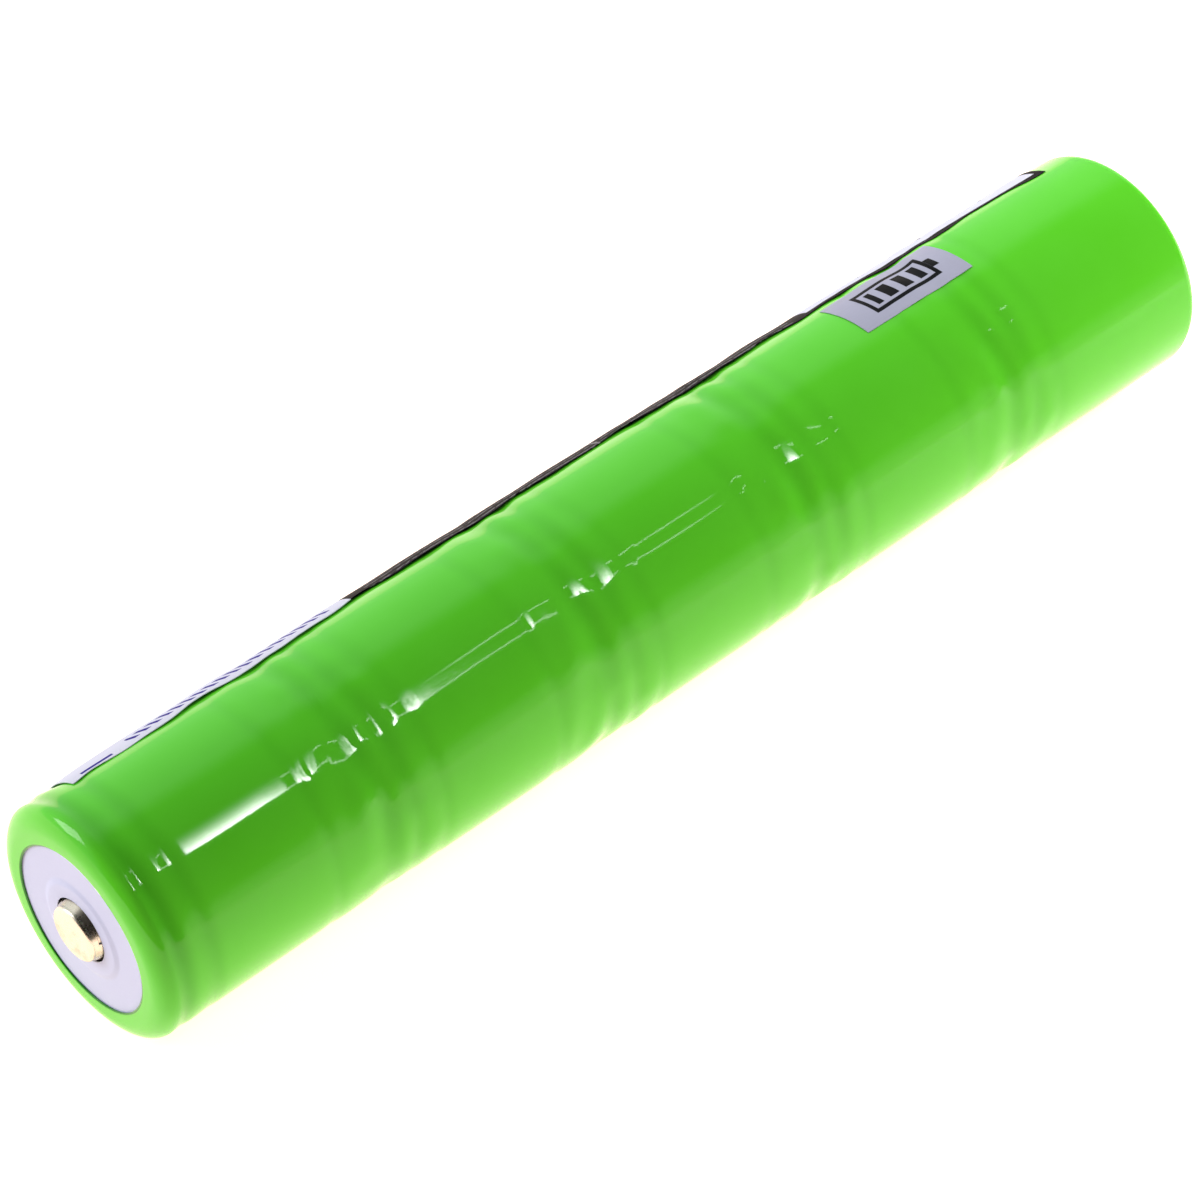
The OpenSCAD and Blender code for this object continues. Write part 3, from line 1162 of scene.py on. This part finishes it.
@dataclass
class FrontButton:
    """Pressed nickel button with a rounded edge, a flange under the washer and vent slots."""

    stick: Stick
    flat: float = 3.2
    side: float = 3.95
    edge: float = 0.6
    foot: float = 4.5
    flange: float = 6.2
    sheet: float = 0.3
    height: float = 2.57
    fillet: float = 0.2
    slot_angles: tuple[float, ...] = (50.0, 170.0, -70.0)
    slot_half_width: float = 0.55
    slot_depth: float = 0.28
    slot_from: float = 1.2
    slot_to: float = 2.05
    columns: int = 360

    def _outline(self) -> list[tuple[float, float]]:
        """Outline of the cap's section as depth behind the flat face and radius."""
        high, sheet = self.height, self.sheet
        dish = [(0.03, 0.0), (0.025, 1.1), (0.01, 2.2), (0.0, 2.9)]
        edge = arc((self.edge, self.flat), (self.edge, self.side - self.flat), 180, 90, 10)
        side_end = high - sheet - self.fillet
        slope = (self.foot - self.side) / (side_end - self.edge)
        drops = [0.15 * k for k in range(1, 10)]
        side = [(self.edge + drop, self.side + slope * drop) for drop in drops]
        fillet = arc((side_end, self.foot + self.fillet), (self.fillet, self.fillet), -90, 0, 4)
        flange = [(high - sheet, self.flange - 0.1), (high - sheet + 0.1, self.flange)]
        under = [(high, self.flange), (high, self.foot - sheet)]
        inside = [(1.0, self.side - sheet), (sheet + 0.1, self.flat), (sheet, self.flat - 0.3), (sheet, 0.0)]
        return [*dish, *edge, *side, *fillet, *flange, *under, *inside]

    def build(self) -> bpy.types.Object:
        """Builds the cap as one closed turned sheet and presses the slots into its side."""
        outline = self._outline()
        depth = np.array([point[0] for point in outline])[:, None]
        radius = np.array([point[1] for point in outline])[:, None]
        angle = np.linspace(0, 360, self.columns, endpoint=False)[None, :]
        pressed = np.zeros((len(outline), self.columns))
        at_slot = (depth > self.slot_from) & (depth < self.slot_to)
        on_side = at_slot & (radius > self.side) & (radius < self.foot + 0.08)
        for slot in self.slot_angles:
            round_by = np.abs((angle - slot + 180) % 360 - 180) * math.radians(self.foot)
            inside = np.clip((self.slot_half_width - round_by) / 0.15 + 0.5, 0, 1)
            pressed = pressed + self.slot_depth * inside * on_side
        run = self.stick.button_x - self.stick.front_x + depth
        points = self.stick.place(run, angle, radius - pressed)
        faces = grid_faces(len(outline), self.columns, close_rows=False)
        return new_piece("front_button", points, faces, 50, weld=True)


# ---------------------------------------------------------------- studio


@dataclass(frozen=True)
class LightStrip:
    """A long flat lamp that lies along X and faces the stick.

    Attributes:
        angle: Where it hangs round the stick, in degrees from the top towards +Y.
        reach: Distance from the stick's axis, in metres.
        start: Lowest X of the lamp, in metres.
        end: Highest X of the lamp, in metres.
        width: Width of the lamp, in metres.
        glow: Brightness of its face.
        mirrored: Whether shiny surfaces show the lamp.
    """

    angle: float
    reach: float
    start: float
    end: float
    width: float
    glow: float
    mirrored: bool = True

    def build(self, name: str, axis_z: float) -> None:
        """Hangs the lamp.

        Args:
            name: Name of the lamp.
            axis_z: Height of the stick's axis, in metres.
        """
        lamp = bpy.data.lights.new(name, "AREA")
        lamp.shape = "RECTANGLE"
        lamp.size = self.end - self.start
        lamp.size_y = self.width
        lamp.energy = math.pi * lamp.size * lamp.size_y * self.glow
        turn = math.radians(self.angle)
        hung = bpy.data.objects.new(name, lamp)
        hung.location = (
            (self.start + self.end) / 2,
            self.reach * math.sin(turn),
            axis_z + self.reach * math.cos(turn),
        )
        hung.rotation_euler = (-turn, 0.0, 0.0)
        hung.visible_camera = False
        hung.visible_glossy = self.mirrored
        bpy.context.scene.collection.objects.link(hung)


@dataclass
class Studio:
    """Plain pale floor, soft surroundings, the lamps and the camera.

    Sizes and places of the lamps are in metres. A lamp's glow is the brightness of its face.
    """

    stick: Stick
    floor_half: float = 3.0
    floor_gap: float = 0.00001
    floor_colour: Colour = (0.70, 0.70, 0.69)
    floor_glow: Colour = (1.36, 1.02, 0.84)
    near_glow: Colour = (0.012, 0.011, 0.010)
    back_glow: Colour = (0.86, 0.90, 0.94)
    horizon_glow: Colour = (1.25, 1.10, 0.95)
    backdrop: Colour = (1.1, 1.1, 1.1)
    camera_place: tuple[float, float, float] = (-0.283487, -0.301948, 0.429646)
    camera_aim: tuple[float, float, float] = (0.47662322, 0.51738459, -0.71073447)
    lens_mm: float = 133.109
    strip_reach: float = 0.6
    strip_bands: int = 10
    strip_angles: tuple[float, float] = (-32.5, -13.0)
    strip_stretches: tuple[tuple[float, float, float], ...] = ((0.150, 0.196, 52.0), (0.196, 0.236, 23.4))
    rim_angles: tuple[float, float] = (-31.5, -19.5)

    def build_floor(self) -> None:
        """Lays the pale floor just under the stick."""
        sides = ((-1, -1), (1, -1), (1, 1), (-1, 1))
        corners = np.array([(x * self.floor_half, y * self.floor_half, -self.floor_gap) for x, y in sides])
        floor = new_piece("studio_floor", corners, [(0, 1, 2, 3)])
        paint = bpy.data.materials.new("studio_floor")
        tree = Tree(paint)
        point = tree.add("ShaderNodeTexCoord", None, None, "Object")
        dust = tree.noise(point, 30.0, 3.0)
        dusty = tuple(0.99 * part for part in self.floor_colour)
        tree.surface(
            Base_Color=tree.mix(dust, self.floor_colour, dusty),
            Roughness=0.85,
            Emission_Color=self.floor_glow,
            Emission_Strength=1.0,
        )
        floor.data.materials.append(paint)

    def build_world(self) -> None:
        """Makes the surroundings: bright behind the stick, dim on the near side, with one warm low patch."""
        world = bpy.data.worlds.new("studio_surroundings")
        bpy.context.scene.world = world
        tree = Tree(world)
        heading = tree.add("ShaderNodeTexCoord", None, None, "Generated")

        def towards(angle: float, along: float = 0.0) -> Value:
            """How much a heading points at an angle round the stick, leaning along it by a share."""
            turn = math.radians(angle)
            reach = math.sqrt(1 - along * along)
            settings = {"operation": "DOT_PRODUCT"}
            sockets = {0: heading, 1: (along, reach * math.sin(turn), reach * math.cos(turn))}
            return tree.add("ShaderNodeVectorMath", settings, sockets, "Value")

        far_half = towards(98).above(0.25, 0.32)
        horizon_patch = towards(-97, 0.48).above(0.965, 0.07)
        seen = tree.add("ShaderNodeLightPath", None, None, "Is Camera Ray")
        sky = tree.mix(far_half, self.near_glow, self.back_glow)
        sky = tree.mix(horizon_patch, sky, self.horizon_glow)
        sky = tree.mix(seen, sky, self.backdrop)
        light = tree.add("ShaderNodeBackground", None, {"Color": sky, "Strength": 1.0})
        tree.add("ShaderNodeOutputWorld", None, {"Surface": light})

    def lamps(self) -> list[LightStrip]:
        """Lists the lamps: a strip of bands that fade upwards, two thin rims past it, and two fills."""
        found = []
        span = (self.strip_angles[1] - self.strip_angles[0]) / self.strip_bands
        width = self.strip_reach * math.radians(span)
        for k in range(self.strip_bands):
            middle = self.strip_angles[0] + span * (k + 0.5)
            fade = (1 - k / self.strip_bands) ** 3
            for start, end, glow in self.strip_stretches:
                found.append(LightStrip(middle, self.strip_reach, start, end, width, glow * fade))
        for angle in self.rim_angles:
            found.append(LightStrip(angle, self.strip_reach, start=0.240, end=0.352, width=0.012, glow=9.0))
        over_far_half = LightStrip(-18.0, 0.2, start=0.26, end=0.36, width=0.3, glow=12.5, mirrored=False)
        past_front = LightStrip(57.0, 1.4, start=-1.75, end=-0.75, width=1.0, glow=6.4)
        return [*found, over_far_half, past_front]

    def build_lamps(self) -> None:
        """Hangs every lamp."""
        for number, lamp in enumerate(self.lamps(), start=1):
            lamp.build(f"lamp_{number}", self.stick.axis_z * MM)

    def build_camera(self) -> None:
        """Sets up the camera, level, in front of the button end and above the stick."""
        lens = bpy.data.cameras.new("studio_camera")
        lens.lens = self.lens_mm
        lens.sensor_width = 36.0
        lens.clip_start = 0.01
        camera = bpy.data.objects.new("studio_camera", lens)
        camera.location = self.camera_place
        camera.rotation_euler = Vector(self.camera_aim).to_track_quat("-Z", "Y").to_euler()
        bpy.context.scene.collection.objects.link(camera)
        bpy.context.scene.camera = camera

    def build(self) -> None:
        """Builds the whole studio."""
        bpy.context.scene.view_settings.view_transform = "Standard"
        self.build_camera()
        self.build_floor()
        self.build_world()
        self.build_lamps()


# ---------------------------------------------------------------- finishes of the carried-over nodes


STEEL = (0.66, 0.66, 0.67)
STEEL_TARNISH = (0.50, 0.48, 0.44)


@dataclass
class CellParts:
    """Gives every carried-over node of the cells and the links its finish."""

    stick: Stick
    finishes: dict[str, Finish] = field(
        default_factory=lambda: {
            "can": PlatedMetal("can_steel", STEEL, STEEL_TARNISH, Grain.ALONG, 0.24),
            "negative_electrode": PressedPowder(
                "negative_powder", (0.10, 0.10, 0.11), (0.20, 0.20, 0.21), (0.6, 0.6, 0.58)
            ),
            "separator": Felt(),
            "positive_electrode": PressedPowder(
                "positive_powder", (0.03, 0.05, 0.04), (0.07, 0.10, 0.08), (0.5, 0.5, 0.46)
            ),
            "insulator_discs": Moulded("insulator_sheet", (0.72, 0.82, 0.88), (0.62, 0.75, 0.83), 0.3),
            "positive_tab": PlatedMetal(
                "tab_nickel", (0.70, 0.68, 0.64), (0.5, 0.44, 0.36), Grain.ALONG, 0.26
            ),
            "seal_ring": Moulded("seal_nylon", (0.80, 0.78, 0.70), (0.72, 0.69, 0.60), 0.38),
            "cover_plate": PlatedMetal("plate_steel", STEEL, STEEL_TARNISH, Grain.ACROSS, 0.28),
            "vent_plug": Moulded(
                "vent_rubber", (0.018, 0.018, 0.019), (0.035, 0.034, 0.033), 0.62, 3.5, 0.02
            ),
            "button_cap": PlatedMetal(
                "cap_nickel", (0.78, 0.74, 0.66), (0.55, 0.47, 0.37), Grain.EVEN, 0.16
            ),
            "white_washer": WasherPaper(),
            "links": PlatedMetal("link_nickel", (0.70, 0.69, 0.66), (0.5, 0.46, 0.4), Grain.ACROSS, 0.3),
        }
    )

    def _finish_key(self, node: str) -> str:
        """Which finish a node takes."""
        return "links" if node == "cell_links" else node.split("_", 2)[2]

    def dress(self, nodes: dict[str, bpy.types.Object], replaced: set[str]) -> int:
        """Puts a finish on every node that isn't replaced.

        Args:
            nodes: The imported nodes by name.
            replaced: Names of the nodes that other pieces stand for.

        Returns:
            How many nodes were dressed.
        """
        made = {key: finish.material(self.stick) for key, finish in self.finishes.items()}
        count = 0
        for name, node in nodes.items():
            if name in replaced:
                continue
            for slot in node.material_slots:
                slot.material = made[self._finish_key(name)]
            count += 1
        return count


def settle(piece: bpy.types.Object, finish: bpy.types.Material, node: str) -> None:
    """Dresses a piece and lets it stand for its node.

    Args:
        piece: The piece.
        finish: Its material.
        node: Node that it replaces.
    """
    piece.data.materials.append(finish)
    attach(piece, "root")
    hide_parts(node)
    LOG.info("%s stands for %s: %d faces", piece.name, node, len(piece.data.polygons))


def main() -> None:
    """Builds the studio, the pieces and the finishes."""
    logging.basicConfig(level=logging.INFO, format="%(name)s: %(message)s")
    stick = Stick.from_nodes()
    surface = FilmSurface(stick)
    Studio(stick).build()
    sleeve = ShrinkSleeve(stick, surface).build()
    film = SleeveFilm(first_base=stick.bases[0], pitch=stick.bases[1] - stick.bases[0])
    settle(sleeve, film.material(stick), "shrink_sleeve")
    cut = LabelCut()
    label = StuckSheet(
        "printed_label", stick, surface, cut.runs, cut.angles, edge_wave=1.3, bulge=0.55, cut=cut
    )
    settle(label.build(), LabelPrint(cut=cut).material(stick), "long_label")
    sticker = StuckSheet(
        "foil_sticker",
        stick,
        surface,
        runs=(134.3, 154.3),
        angles=(-2.5, 30.5),
        thick=0.08,
        lift=0.10,
        follow=0.7,
        step=0.4,
        crumple=0.02,
    )
    settle(sticker.build(), StickerFoil().material(stick), "small_sticker")
    paper = WasherPaper("front_washer_paper")
    settle(FrontWasher(stick).build(), paper.material(stick), "cell_1_white_washer")
    nickel = PlatedMetal(
        "front_button_nickel",
        bright=(0.78, 0.72, 0.58),
        tarnish=(0.42, 0.33, 0.24),
        roughness=0.2,
        tarnish_from=0.62,
    )
    settle(FrontButton(stick).build(), nickel.material(stick), "cell_1_button_cap")
    replaced = {"shrink_sleeve", "long_label", "small_sticker", "cell_1_white_washer", "cell_1_button_cap"}
    dressed = CellParts(stick).dress(frame["nodes"], replaced)
    LOG.info("%d nodes dressed", dressed)


if __name__ == "__main__":
    main()
